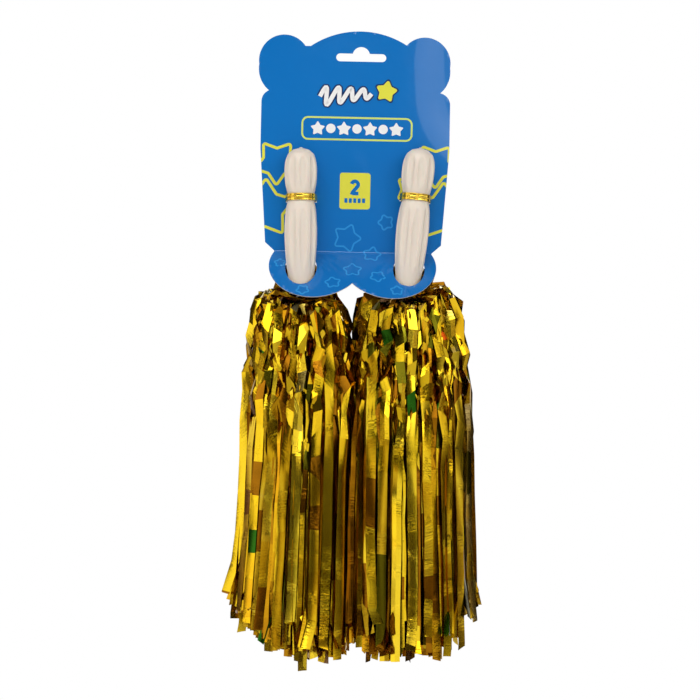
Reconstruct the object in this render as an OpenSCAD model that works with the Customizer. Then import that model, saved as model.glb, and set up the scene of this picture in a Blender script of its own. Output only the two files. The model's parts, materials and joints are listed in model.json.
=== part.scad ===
// Carded pair of cheer pom poms: two baton-handled tinsel pom poms tied to a
// die-cut header card. The front faces -Y, +Z is up, and the origin is the
// point of the hang slot where a display peg carries the pack.

/* [Header card] */
// Thickness of the laminated card
card_t = 0.5; // [0.4:0.05:0.7]
// How far the hang slot sits to the right of the card's middle
slot_shift = 3; // [0:0.5:4]
// Widest part of the card's panel
panel_w = 128.6; // [127:0.2:130]
// Angle of the lower flap, forward from straight down
flap_angle = 46; // [44:0.5:48]
// Length of the lower flap, from its fold to the lowest point of its lobes
flap_len = 45.5; // [45:0.5:47]

/* [Hang slot] */
// End-to-end width of the slot
slot_w = 34; // [32:1:36]
// Height of the slot's straight part
slot_h = 5.4; // [5:0.1:6]
// Radius of the bump that the peg rests in
peg_r = 5.9; // [5.5:0.1:6.2]

/* [Handle] */
// Radius of the handle at its head and at its grip
handle_r = 11.1; // [10.9:0.1:11.2]
// Radius of the handle at its waist, under the tie
waist_r = 8.8; // [8.6:0.1:9.1]
// Number of flutes round the head, and round the grip
flute_count = 9; // [6:1:10]
// Depth of a flute at its deepest
flute_depth = 1.6; // [0.8:0.1:1.8]
// Radius of the hollow inside the handle
bore_r = 6.5; // [6:0.1:6.7]
// Distance of each handle's axis in front of the card
handle_stand = 11.6; // [11.6:0.1:11.8]
// Lean of the left handle, positive with its top to the right
left_lean = -1.2; // [-2:0.1:0]
// Lean of the right handle, positive with its top to the right
right_lean = 4.3; // [3.5:0.1:4.6]

/* [Twist tie] */
// Width of the foil ribbon
ribbon_w = 4.5; // [4:0.1:5]
// Thickness of the foil ribbon
ribbon_t = 0.5; // [0.4:0.05:0.6]
// Radius of the wire laminated into the ribbon
core_wire_r = 0.3; // [0.25:0.05:0.3]

/* [Tinsel skirt] */
// Length of the strips below the pull wire's eye
strip_len = 236; // [220:1:245]
// Radius of each skirt at its shoulder
shoulder_r = 33; // [30:0.5:33.5]
// Radius of each skirt at its cut ends
hem_r = 35; // [33:0.5:37]
// Radius of the pull wire
pull_wire_r = 0.6; // [0.5:0.05:0.6]

/* [Hidden] */
$fa = 6;
$fs = 0.6;

left = -1;
right = 1;
sides = [left, right];
over = 1;
card_colour = "#0a73c2";
handle_colour = "#e4dacd";
foil_colour = "#d9b51c";
amber_colour = "#b9860f";
umber_colour = "#7c560c";
steel_colour = "#a8a8ac";
plug_colour = "#c8c8c4";

// Card outline, about the middle of the card: ears and brow on top, each set a little to one side,
// and round corners below
ear_top = [48, -9.8];
ear_top_r = 17.3;
ear_side = [46, -15.5];
ear_side_r = 19.3;
ear_shift = -1.3;
brow_top = 10.7;
brow_r = 59;
brow_shift = 2.4;
shoulder_z = -38;
corner_r = 8;
waistline_z = -70;
foot_corner = [59.8, -134];
fold_z = -139.5;
neck_half = 53.6;
neck_step = 0.15;
neck_h = 1.6;
fold_lap = 0.17;
lobe_r = 31;
lobe_x = 25.5;
slot_drop = 4.6;

// Handles: form is [distance below the top, radius], smoothed between its points
handle_len = 98;
waist_h = 33;
form = [
    [0, 2.2], [1, 5.6], [4, 8.8], [9, 10.6], [16, handle_r], [24, 10.5], [waist_h, waist_r],
    [42, 10.3], [54, handle_r], [66, 10.8], [78, 9.9], [86, 8.8], [92, 8.3], [handle_len, 8.1]
];
form_steps = 2;
gate_r = 1.1;
gate_h = 0.7;
bore_top = 12;
flute_tool_r = 3.4;
head_flutes = [1, waist_h];
grip_flutes = [waist_h + 2, 90];
grip_flute_tilt = 1;
left_waist_z = -104;
right_waist_z = -102.5;
waist_x = 38.7;
foot_drop = handle_len - waist_h;
plug_len = 8;
plug_hole_r = 1.7;
hole_half_w = 10.6;
hole_half_h = 16;
hole_drop = 16.9;

// Twist tie
tie_gap = 0.7;
tie_r = waist_r + tie_gap;
rib_wall = 0.2;
rib_r = core_wire_r + rib_wall;
rib_path_r = tie_r + core_wire_r;
slit_gap = 0.5;
slit_w = 1.3;
slit_h = ribbon_w + slit_gap;
back_gap = 0.8;
tie_back = handle_stand + card_t + back_gap;
tail_len = 13;
tail_x = 0.7;

// Pull wire and skirt: the wire's eye is just under the handle's foot
eye_drop = 5;
eye_r = 4;
wire_leg_x = 0.75;
wire_tail = 4.4;
saddle_r = 3;
saddle_side_r = 4.5;
saddle_half = 7;
saddle_slot = 1.1;
skirt_drop = 6.5;
shoulder_round = 15;
middle_share = 0.68;
core_share = 0.36;
left_skirt_lean = 0.9;
right_skirt_lean = -1.9;

function lean(side) = side == left ? left_lean : right_lean;
function skirt_lean(side) = side == left ? left_skirt_lean : right_skirt_lean;
function waist_z(side) = side == left ? left_waist_z : right_waist_z;

// The handle's axis, as an x for each height
function axis_x(side, z) = side * waist_x - (waist_z(side) - z) * tan(lean(side));
// The height of a point on the flap, from its distance below the fold
function flap_z(drop) = fold_z - drop * cos(flap_angle);

// A point of a smooth curve through four points, at share t between the second and the third
function smooth(a, b, c, d, t) =
    0.5 * (2 * b + (c - a) * t + (2 * a - 5 * b + 4 * c - d) * t ^ 2 + (3 * b - a - 3 * c + d) * t ^ 3);
function form_at(i) = form[max(0, min(len(form) - 1, i))];
function smooth_form() = [
    for (i = [0 : len(form) - 2], k = [0 : form_steps - 1])
        smooth(form_at(i - 1), form_at(i), form_at(i + 1), form_at(i + 2), k / form_steps),
    form_at(len(form))
];

// Puts a shape on a handle's axis: the origin goes to the waist, and +Z up the handle
module on_handle(side) {
    translate([side * waist_x, -handle_stand, waist_z(side)]) rotate([0, lean(side), 0]) children();
}

// Puts a shape on a skirt's axis: the origin goes to the middle of the pull wire's eye
module on_skirt(side) {
    on_handle(side) translate([0, 0, -foot_drop - eye_drop])
        rotate([0, skirt_lean(side) - lean(side), 0]) children();
}

// Lays a flat outline in the plane of the panel, with its thickness behind the front face
module panel_sheet() {
    translate([0, card_t, 0]) rotate([90, 0, 0]) linear_extrude(card_t) children();
}

// Lays a flat outline in the plane of the flap, with its y measured from the fold
module flap_sheet() {
    translate([0, 0, fold_z]) rotate([-flap_angle, 0, 0]) panel_sheet() children();
}

module slot_outline() {
    straight = slot_w - slot_h;
    middle = -slot_drop - slot_h / 2;
    translate([-straight / 2, -slot_drop - slot_h]) square([straight, slot_h]);
    for (side = sides) translate([side * straight / 2, middle]) circle(r = slot_h / 2);
    intersection() {
        translate([0, -peg_r]) circle(r = peg_r);
        translate([-peg_r, middle]) square([2 * peg_r, peg_r * 2]);
    }
}

module panel_outline() {
    half = panel_w / 2;
    polygon([
        [-half, shoulder_z], [half, shoulder_z], [half, waistline_z],
        [foot_corner.x, foot_corner.y], [neck_half, fold_z], [neck_half, fold_z - fold_lap],
        [-neck_half, fold_z - fold_lap], [-neck_half, fold_z], [-foot_corner.x, foot_corner.y],
        [-half, waistline_z]
    ]);
    translate([ear_shift - ear_side.x, shoulder_z]) square([2 * ear_side.x, -shoulder_z]);
    translate([corner_r - half, shoulder_z]) square([2 * (half - corner_r), 2 * corner_r]);
    intersection() {
        translate([brow_shift, brow_top - brow_r]) circle(r = brow_r);
        translate([ear_shift - ear_side.x, -over]) square([2 * ear_side.x, brow_top + 2 * over]);
    }
    for (side = sides) {
        translate([ear_shift + side * ear_top.x, ear_top.y]) circle(r = ear_top_r);
        translate([ear_shift + side * ear_side.x, ear_side.y]) circle(r = ear_side_r);
        translate([side * (half - corner_r), shoulder_z]) circle(r = corner_r);
    }
}

// The flap laps into the panel's thickness at the fold, which leaves a scored crease behind
module flap_outline() {
    reach = lobe_x + lobe_r;
    neck = neck_half - neck_step;
    translate([-neck, -neck_h]) square([2 * neck, neck_h + fold_lap]);
    intersection() {
        union() {
            for (side = sides) translate([side * lobe_x, lobe_r - flap_len]) circle(r = lobe_r);
            translate([-lobe_x, lobe_r - flap_len]) square([2 * lobe_x, flap_len - lobe_r]);
        }
        translate([-reach, -flap_len - over]) square([2 * reach, flap_len + over]);
    }
}

// The hole that a handle's foot passes through, in the plane of the flap, turned with the handle's lean
module foot_hole(side) {
    translate([axis_x(side, flap_z(hole_drop)), -hole_drop])
        rotate(-atan(tan(lean(side)) * cos(flap_angle)))
            scale([1, hole_half_h / hole_half_w]) circle(r = hole_half_w);
}

// The two narrow slits that a tie's legs pass through
module tie_slits(side) {
    on_handle(side) for (leg = sides) translate([leg * rib_path_r, handle_stand, 0])
        cube([slit_w, 2 * card_t + over, slit_h], center = true);
}

module header_card() {
    color(card_colour) difference() {
        union() {
            panel_sheet() difference() {
                translate([-slot_shift, 0]) panel_outline();
                slot_outline();
            }
            flap_sheet() difference() {
                translate([-slot_shift, 0]) flap_outline();
                for (side = sides) foot_hole(side);
            }
        }
        for (side = sides) tie_slits(side);
    }
}

// The run of the tie's wire: round the waist, back through the card, together, and down
module tie_run(r) {
    rotate([0, 0, 180]) rotate_extrude(angle = 180) translate([rib_path_r, 0]) circle(r = r);
    for (side = sides) {
        translate([side * rib_path_r, 0, 0]) rotate([-90, 0, 0]) cylinder(h = tie_back, r = r);
        translate([side * rib_path_r, tie_back, 0]) sphere(r = r);
        translate([side * tail_x, tie_back, 0]) rotate([0, side * 90, 0])
            cylinder(h = rib_path_r - tail_x, r = r);
        translate([side * tail_x, tie_back, 0]) sphere(r = r);
        translate([side * tail_x, tie_back, -tail_len]) cylinder(h = tail_len, r = r);
    }
}

module tie_ribbon(side) {
    color(foil_colour) on_handle(side) difference() {
        union() {
            rotate([0, 0, 180]) rotate_extrude(angle = 180) {
                translate([tie_r, -ribbon_w / 2]) square([ribbon_t, ribbon_w]);
                translate([rib_path_r, 0]) circle(r = rib_r);
            }
            for (leg = sides) {
                translate([leg * (tie_r + ribbon_t / 2), tie_back / 2, 0])
                    cube([ribbon_t, tie_back, ribbon_w], center = true);
                translate([leg * rib_path_r, 0, 0]) rotate([-90, 0, 0]) cylinder(h = tie_back, r = rib_r);
            }
            translate([0, tie_back, 0]) cube([2 * (rib_path_r + rib_r), 2 * rib_r, ribbon_w], center = true);
            translate([0, tie_back, -tail_len / 2])
                cube([2 * (tail_x + rib_r), 2 * rib_r, tail_len], center = true);
        }
        tie_run(core_wire_r);
    }
}

module tie_wire(side) {
    color(steel_colour) on_handle(side) tie_run(core_wire_r);
}

// One ring of flutes, cut between two distances below the handle's top
module flutes(span, tilt) {
    middle = waist_h - (span[0] + span[1]) / 2;
    for (i = [0 : flute_count - 1]) rotate([0, 0, i * 360 / flute_count])
        translate([handle_r + flute_tool_r - flute_depth, 0, middle]) rotate([0, tilt, 0])
            cylinder(h = span[1] - span[0], r = flute_tool_r, center = true);
}

module handle(side) {
    outline = [for (p = smooth_form()) [p.y, waist_h - p.x]];
    color(handle_colour) on_handle(side) difference() {
        union() {
            rotate_extrude() polygon(concat([[0, waist_h]], outline, [[0, waist_h - handle_len]]));
            translate([0, 0, waist_h - gate_h]) cylinder(h = 2 * gate_h, r = gate_r);
        }
        translate([0, 0, -foot_drop - over]) cylinder(h = handle_len - bore_top + over, r = bore_r);
        flutes(head_flutes, 0);
        flutes(grip_flutes, grip_flute_tilt);
    }
}

module end_plug(side) {
    color(plug_colour) on_handle(side) translate([0, 0, -foot_drop]) difference() {
        cylinder(h = plug_len, r = bore_r);
        translate([0, 0, -over]) cylinder(h = plug_len + 2 * over, r = plug_hole_r);
    }
}

// A wire eye under the foot, with two legs up through the plug that are bent out on top of it
module pull_wire(side) {
    leg_top = plug_len + pull_wire_r;
    color(steel_colour) on_handle(side) translate([0, 0, -foot_drop]) {
        translate([0, 0, -eye_drop]) rotate([90, 0, 0]) rotate_extrude()
            translate([eye_r, 0]) circle(r = pull_wire_r);
        for (leg = sides) {
            translate([leg * wire_leg_x, 0, eye_r - eye_drop - pull_wire_r / 2])
                cylinder(h = leg_top - eye_r + eye_drop + pull_wire_r / 2, r = pull_wire_r);
            translate([leg * wire_leg_x, 0, leg_top]) sphere(r = pull_wire_r);
            translate([leg * wire_leg_x, 0, leg_top]) rotate([0, leg * 90, 0])
                cylinder(h = wire_tail, r = pull_wire_r);
        }
    }
}

// Half outline of a layer of strips: a round shoulder, then nearly straight to the cut ends
module bell_outline(share) {
    round_r = shoulder_round * share;
    polygon([
        [0, -skirt_drop],
        for (a = [0 : 15 : 90])
            [shoulder_r * share - round_r * (1 - sin(a)), -skirt_drop - round_r * (1 - cos(a))],
        [hem_r * share, -strip_len],
        [0, -strip_len]
    ]);
}

module strip_layer(side, outer_share, inner_share) {
    on_skirt(side) rotate_extrude() difference() {
        bell_outline(outer_share);
        bell_outline(inner_share);
    }
}

// The middle of the hank, which hangs through the pull wire's eye
module saddle() {
    rotate([90, 0, 0]) cylinder(h = 2 * saddle_half, r = saddle_r, center = true);
    for (s = sides) translate([0, s * (saddle_half + saddle_slot) / 2, 0]) {
        rotate([90, 0, 0]) cylinder(h = saddle_half - saddle_slot, r = saddle_side_r, center = true);
        translate([0, 0, -skirt_drop / 2 - over / 2])
            cube([2 * saddle_side_r, saddle_half - saddle_slot, skirt_drop + over], center = true);
    }
}

module core_strips(side) {
    color(umber_colour) on_skirt(side) {
        saddle();
        rotate_extrude() bell_outline(core_share);
    }
}

module middle_strips(side) {
    color(amber_colour) strip_layer(side, middle_share, core_share);
}

module outer_strips(side) {
    color(foil_colour) strip_layer(side, 1, middle_share);
}

header_card();
tie_ribbon(left);  // left_tie_ribbon
tie_wire(left);  // left_tie_wire
handle(left);  // left_handle
end_plug(left);  // left_end_plug
pull_wire(left);  // left_pull_wire
core_strips(left);  // left_core_strips
middle_strips(left);  // left_middle_strips
outer_strips(left);  // left_outer_strips
tie_ribbon(right);  // right_tie_ribbon
tie_wire(right);  // right_tie_wire
handle(right);  // right_handle
end_plug(right);  // right_end_plug
pull_wire(right);  // right_pull_wire
core_strips(right);  // right_core_strips
middle_strips(right);  // right_middle_strips
outer_strips(right);  // right_outer_strips
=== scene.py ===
"""Looks of the carded pair of cheer pom poms: laminated card with its print, foil ties, fluted
handles and the crinkled film strips of the two skirts. Shapes are worked out in millimetres in the
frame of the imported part, and turned into metres when a mesh is made."""

import json
import math

import bmesh
import bpy
import numpy as np
from mathutils import Matrix, Vector


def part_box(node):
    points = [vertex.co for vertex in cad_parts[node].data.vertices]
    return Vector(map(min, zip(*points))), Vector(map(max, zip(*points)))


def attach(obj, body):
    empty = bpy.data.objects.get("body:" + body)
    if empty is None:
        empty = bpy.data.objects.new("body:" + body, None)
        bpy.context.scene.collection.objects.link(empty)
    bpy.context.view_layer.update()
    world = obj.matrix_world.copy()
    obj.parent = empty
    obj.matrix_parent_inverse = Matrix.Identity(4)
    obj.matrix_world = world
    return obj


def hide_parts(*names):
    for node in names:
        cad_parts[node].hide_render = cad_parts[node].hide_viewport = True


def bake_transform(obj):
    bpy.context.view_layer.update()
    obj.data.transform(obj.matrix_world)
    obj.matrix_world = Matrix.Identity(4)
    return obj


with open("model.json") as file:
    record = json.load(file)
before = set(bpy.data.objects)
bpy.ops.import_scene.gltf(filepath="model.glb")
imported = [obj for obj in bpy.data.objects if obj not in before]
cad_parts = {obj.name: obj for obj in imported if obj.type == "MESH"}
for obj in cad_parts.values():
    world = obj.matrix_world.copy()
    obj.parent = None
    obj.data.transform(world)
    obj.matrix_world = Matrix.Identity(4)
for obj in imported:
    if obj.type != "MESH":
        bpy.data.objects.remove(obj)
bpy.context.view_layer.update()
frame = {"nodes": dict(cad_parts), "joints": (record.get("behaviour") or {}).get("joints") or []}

MM = 0.001
SIDES = ("left", "right")
JOINTS = {j["name"]: j for j in frame["joints"]}


# ---------------------------------------------------------------- meshes

def make_mesh(name, points, faces, materials, smooth=True, sharp_deg=None):
    """A mesh object from points in millimetres."""
    mesh = bpy.data.meshes.new(name)
    mesh.from_pydata((np.asarray(points, float) * MM).tolist(), [], faces)
    return finish_mesh(name, mesh, materials, smooth, sharp_deg)


def finish_mesh(name, mesh, materials, smooth=True, sharp_deg=None):
    for m in materials:
        mesh.materials.append(m)
    mesh.update()
    mesh.shade_smooth() if smooth else mesh.shade_flat()
    if sharp_deg is not None:
        mesh.set_sharp_from_angle(angle=math.radians(sharp_deg))
    obj = bpy.data.objects.new(name, mesh)
    bpy.context.scene.collection.objects.link(obj)
    return obj


def rest_on(obj, body, slot, *nodes):
    """The piece takes the place of these CAD nodes, and moves with their body."""
    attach(obj, body)
    if nodes:
        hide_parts(*nodes)
    return obj


def lathe_faces(rows, around):
    """Quads between rings of points that lie one after the other."""
    faces = []
    for i in range(rows - 1):
        for k in range(around):
            n = (k + 1) % around
            faces.append((i * around + k, i * around + n, (i + 1) * around + n, (i + 1) * around + k))
    return faces


def spline(controls, t):
    """Points of a Catmull-Rom curve through the controls, at parameters t from 0 to len(controls) - 1."""
    c = np.asarray(controls, float)
    i = np.clip(t.astype(int), 0, len(c) - 2)
    f = (t - i)[:, None]
    a, b = c[np.maximum(i - 1, 0)], c[i]
    d, e = c[i + 1], c[np.minimum(i + 2, len(c) - 1)]
    square, cube = 2 * a - 5 * b + 4 * d - e, 3 * b - a - 3 * d + e
    return 0.5 * (2 * b + (d - a) * f + square * f ** 2 + cube * f ** 3)


def smooth_step(x):
    x = np.clip(x, 0, 1)
    return x * x * (3 - 2 * x)


# ---------------------------------------------------------------- materials

class Nodes:
    """A material's node tree, with short calls for the nodes that this scene uses."""

    def __init__(self, name):
        self.material = bpy.data.materials.new(name)
        self.material.use_nodes = True
        self.tree = self.material.node_tree
        self.shader = next(n for n in self.tree.nodes if n.type == "BSDF_PRINCIPLED")

    def add(self, kind, **inputs):
        node = self.tree.nodes.new(kind)
        for key, value in inputs.items():
            self.set(node.inputs[key.replace("_", " ")], value)
        return node

    def set(self, socket, value):
        if isinstance(value, bpy.types.NodeSocket):
            self.tree.links.new(value, socket)
        else:
            socket.default_value = value

    def surface(self, **inputs):
        for key, value in inputs.items():
            self.set(self.shader.inputs[key.replace("_", " ")], value)

    def place(self, scale=(1, 1, 1), source="Object"):
        coords = self.tree.nodes.new("ShaderNodeTexCoord")
        mapping = self.tree.nodes.new("ShaderNodeMapping")
        mapping.inputs["Scale"].default_value = scale
        self.tree.links.new(coords.outputs[source], mapping.inputs["Vector"])
        return mapping.outputs["Vector"]

    def noise(self, vector, scale, detail=2.0, rough=0.5):
        node = self.add("ShaderNodeTexNoise", Scale=scale, Detail=detail, Roughness=rough, Vector=vector)
        return node.outputs["Fac"]

    def attribute(self, name):
        node = self.tree.nodes.new("ShaderNodeAttribute")
        node.attribute_name = name
        return node

    def ramp(self, fac, stops, mode="LINEAR"):
        node = self.tree.nodes.new("ShaderNodeValToRGB")
        node.color_ramp.interpolation = mode
        ends = node.color_ramp.elements
        for _ in stops[2:]:
            ends.new(0.5)
        for element, (at, colour) in zip(ends, stops):
            element.position = at
            element.color = (*colour, 1)
        self.set(node.inputs["Fac"], fac)
        return node.outputs["Color"]

    def grey(self, fac, low, high):
        """Maps 0..1 to low..high."""
        node = self.tree.nodes.new("ShaderNodeMapRange")
        node.inputs["To Min"].default_value = low
        node.inputs["To Max"].default_value = high
        self.set(node.inputs["Value"], fac)
        return node.outputs["Result"]

    def math(self, kind, a, b=0.0):
        node = self.tree.nodes.new("ShaderNodeMath")
        node.operation = kind
        self.set(node.inputs[0], a)
        self.set(node.inputs[1], b)
        return node.outputs[0]

    def mix(self, fac, a, b):
        node = self.tree.nodes.new("ShaderNodeMix")
        node.data_type = "RGBA"
        self.set(node.inputs[0], fac)
        self.set(node.inputs[6], (*a, 1) if isinstance(a, tuple) else a)
        self.set(node.inputs[7], (*b, 1) if isinstance(b, tuple) else b)
        return node.outputs[2]

    def bump(self, height, strength, distance, normal=None):
        node = self.add("ShaderNodeBump", Strength=strength, Distance=distance, Height=height)
        if normal is not None:
            self.tree.links.new(normal, node.inputs["Normal"])
        return node.outputs["Normal"]


def laminate(name, colour, lighter, roughness=0.34):
    """Printed ink under a glossy laminate that has small dents and ripples."""
    n = Nodes(name)
    where = n.place()
    tint = n.noise(where, 14, 3)
    ripple = n.noise(where, 55, 2)
    dents = n.noise(where, 420, 3, 0.6)
    n.surface(
        Base_Color=n.mix(n.grey(tint, -0.1, 0.45), colour, lighter),
        Roughness=n.grey(dents, roughness - 0.06, roughness + 0.1),
        Specular_IOR_Level=0.2,
        Coat_Weight=0.65,
        Coat_Roughness=0.06,
        Normal=n.bump(dents, 0.12, 0.0002, n.bump(ripple, 0.25, 0.002)),
    )
    return n.material


def board(name, colour):
    """Uncoated board, seen at the card's cut edges and on its back."""
    n = Nodes(name)
    where = n.place()
    fibres = n.noise(n.place((1, 1, 0.25)), 900, 5, 0.7)
    flecks = n.noise(where, 260, 2)
    n.surface(
        Base_Color=n.mix(n.grey(fibres, 0.1, 0.9), colour, tuple(c * 0.86 for c in colour)),
        Roughness=n.grey(flecks, 0.78, 0.95),
        Normal=n.bump(fibres, 0.3, 0.0001),
    )
    return n.material


def moulded(name, colour):
    """Injection-moulded plastic with a soft sheen, faint flow marks and handling scuffs."""
    n = Nodes(name)
    where = n.place()
    flow = n.noise(n.place((1, 1, 0.2)), 90, 3)
    grain = n.noise(where, 1500, 2)
    scuffs = n.noise(n.place((1, 1, 0.08)), 600, 4, 0.7)
    n.surface(
        Base_Color=n.mix(n.grey(flow, 0.0, 0.9), colour, tuple(c * 0.93 for c in colour)),
        Roughness=n.grey(scuffs, 0.3, 0.46),
        Subsurface_Weight=0.12,
        Subsurface_Scale=0.003,
        Normal=n.bump(grain, 0.06, 0.0001, n.bump(flow, 0.05, 0.0006)),
    )
    return n.material


def foil(name):
    """Gold foil laminate of the ties, finely crinkled."""
    n = Nodes(name)
    where = n.place()
    crinkle = n.noise(where, 900, 3, 0.6)
    tint = n.noise(where, 160, 2)
    n.surface(
        Base_Color=n.ramp(tint, [(0.3, (0.62, 0.36, 0.03)), (0.6, (0.93, 0.66, 0.09))]),
        Metallic=1.0,
        Roughness=n.grey(crinkle, 0.12, 0.3),
        Normal=n.bump(crinkle, 0.25, 0.0002),
    )
    return n.material


def steel(name):
    """Bright drawn wire, with fine lines along it."""
    n = Nodes(name)
    drawn = n.noise(n.place((1, 1, 0.05)), 2500, 2)
    n.surface(
        Base_Color=n.mix(drawn, (0.6, 0.6, 0.62), (0.42, 0.42, 0.43)),
        Metallic=1.0,
        Roughness=n.grey(drawn, 0.22, 0.4),
        Normal=n.bump(drawn, 0.1, 0.00005),
    )
    return n.material


def film(name, painted_inner_shade):
    """Metallised film, gold of its own, with painted reflections: every facet between two creases has its own
    painted tone, from dark to pale, and a few have a painted green, olive or rust reflection. The strip's UV
    runs across it and along it, in units of 10 mm."""
    n = Nodes(name)
    reflection_tone = n.attribute("reflection_tone").outputs["Fac"]
    reflection_hue = n.attribute("reflection_hue").outputs["Fac"]
    patches = n.noise(n.place((0.3, 0.5, 1), "UV"), 1.4, 1.5)
    wrinkles = n.noise(n.place((0.8, 3.5, 1), "UV"), 1.8, 3, 0.6)
    grain = n.noise(n.place((3, 2, 1), "UV"), 9, 2)
    calm_patches = n.noise(n.place((0.2, 0.5, 1), "UV"), 1.1, 1)
    where_wrinkled = n.ramp(calm_patches, [(0.5, (0.12,) * 3), (0.64, (1, 1, 1))])
    # Patches along each strip shift its painted reflection tone.
    shifted = n.math("ADD", reflection_tone, n.grey(patches, -0.12, 0.12))
    # The film's own gold with painted reflections: the dark end of this ramp is painted dark reflection, the
    # pale end painted highlight.
    gold = n.ramp(shifted, [
        (0.0, (0.10, 0.04, 0.002)), (0.2, (0.27, 0.11, 0.004)), (0.4, (0.47, 0.235, 0.006)),
        (0.6, (0.60, 0.39, 0.010)), (0.86, (0.64, 0.46, 0.025)), (1.0, (0.60, 0.52, 0.30)),
    ])
    # Painted green, olive and rust reflections.
    glints = n.ramp(reflection_hue, [
        (0.0, (0.10, 0.09, 0.004)), (0.4, (0.017, 0.085, 0.006)), (0.7, (0.18, 0.025, 0.002)),
    ], "CONSTANT")
    coloured = n.mix(n.math("GREATER_THAN", reflection_hue, 0.001), gold, glints)
    n.surface(
        # Painted shade: the inner layers' colour is mixed towards dark brown.
        Base_Color=n.mix(painted_inner_shade, coloured, (0.08, 0.035, 0.003)),
        Metallic=1.0,
        Roughness=n.grey(grain, 0.12, 0.24),
        Normal=n.bump(n.math("MULTIPLY", wrinkles, where_wrinkled), 0.28, 0.0009),
    )
    return n.material


INK_BLUE = laminate("ink_blue", (0.0, 0.15, 0.50), (0.001, 0.19, 0.58))
INK_TINT = laminate("ink_tint", (0.02, 0.27, 0.68), (0.03, 0.33, 0.74))
INK_YELLOW = laminate("ink_yellow", (0.72, 0.71, 0.06), (0.78, 0.78, 0.1))
INK_PALE = laminate("ink_pale_yellow", (0.62, 0.76, 0.14), (0.7, 0.8, 0.2))
INK_WHITE = laminate("ink_white", (0.84, 0.86, 0.88), (0.88, 0.88, 0.88))
INK_NAVY = laminate("ink_navy", (0.008, 0.03, 0.12), (0.012, 0.05, 0.16))
BOARD_EDGE = board("board_edge", (0.62, 0.63, 0.64))
BOARD_BACK = board("board_back", (0.66, 0.65, 0.62))
IVORY = moulded("ivory_plastic", (0.78, 0.705, 0.62))
PLUG_PLASTIC = moulded("plug_plastic", (0.62, 0.62, 0.60))
GOLD_FOIL = foil("gold_foil")
WIRE_STEEL = steel("wire_steel")


# ---------------------------------------------------------------- card

FLAP_ANGLE = math.radians(46)
FOLD_Z = -139.5
CARD_MID = -3.0
CARD_HALF_W = 64.3
TAPER_FROM = -70
CARD_TAPER = math.radians(4)
LOBE_MID = 25.5
LOBE_R = 32.5
LOBE_DOWN = 14.5
FLAP_LEN = 46
SHEET_GRID = 2.0
PRINT_INSET = 0.12
PRINT_BACK = -0.1
# Ripples of the flap: middle x, middle distance below the fold, angle, half length, height
FLAP_RIPPLES = (
    (-21, 12, -58, 16, 0.9), (-17, 9, -52, 13, 0.7), (-24, 17, -64, 11, 0.6), (20, 18, 62, 12, 0.7),
    (50, 13, 75, 9, 0.6), (17, 11, 50, 9, 0.5), (-3, 19, -88, 12, 0.5), (-50, 14, 80, 10, 0.6),
    (-36, 37, -70, 6, 0.3), (-30, 39, -60, 5, 0.3), (33, 37, -80, 6, 0.8),
)
RIPPLE_W = 1.3


def warp(x, v):
    """How far the card's surface stands forward of flat, at x and at height v down the unfolded card."""
    x, v = np.asarray(x, float), np.asarray(v, float)
    free = smooth_step((v - FOLD_Z - 2) / 40)
    right = -4.4 * np.clip((x - 22) / 39, 0, 2) ** 2 * (0.12 + 0.88 * smooth_step((v + 92) / 60))
    left = -1.6 * np.clip((-40 - x) / 24, 0, 2) ** 2 * smooth_step((v + 60) / 50)
    brow = -1.2 * smooth_step((v + 22) / 34) ** 2 * np.cos((x - CARD_MID) / 38) ** 2
    belly = 0.22 * np.sin(x / 17 + 0.6) * np.sin(v / 23 + 0.4)
    belly = belly + 0.5 * np.exp(-((x - 2 + 0.42 * (v + 90)) / 7) ** 2) * smooth_step((-v - 62) / 20)
    panel = free * (right + left + brow + belly)
    down = np.clip(FOLD_Z - v, 0, 60)
    curl = 1.5 * smooth_step((down - 6) / 40) * np.cos((x - CARD_MID) / 13) * 0.5
    flap = np.where(v < FOLD_Z, curl + flap_creases(x, down), 0.0)
    return panel + flap


def flap_creases(x, down):
    """Short sharp ripples that fan out of the fold beside the handles' feet."""
    total = np.zeros_like(x)
    for cx, cs, angle, reach, height in FLAP_RIPPLES:
        a = math.radians(angle)
        u = (x - cx) * math.cos(a) + (down - cs) * -math.sin(a)
        w = (x - cx) * math.sin(a) + (down - cs) * math.cos(a)
        total = total + height * np.clip(1 - np.abs(u) / reach, 0, 1) * np.exp(-(w / RIPPLE_W) ** 2)
    return total * smooth_step(down / 6)


def sheet_point(x, v, lift):
    """A point lift in front of the card, at x and v of the unfolded card."""
    x, v = np.asarray(x, float), np.asarray(v, float)
    out = warp(x, v) + lift
    down = np.clip(FOLD_Z - v, 0, None)
    folded = v < FOLD_Z
    y = np.where(folded, -down * math.sin(FLAP_ANGLE) - out * math.cos(FLAP_ANGLE), -out)
    z = np.where(folded, FOLD_Z - down * math.cos(FLAP_ANGLE) + out * math.sin(FLAP_ANGLE), v)
    return np.stack([x, y, z], -1)


def cut_planes(bm, axis, places):
    """Cuts everything by planes across one axis."""
    for at in places:
        place, normal = [0, 0, 0], [0, 0, 0]
        place[axis], normal[axis] = at, 1
        parts = bm.verts[:] + bm.edges[:] + bm.faces[:]
        bmesh.ops.bisect_plane(bm, geom=parts, plane_co=place, plane_no=normal)


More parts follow.
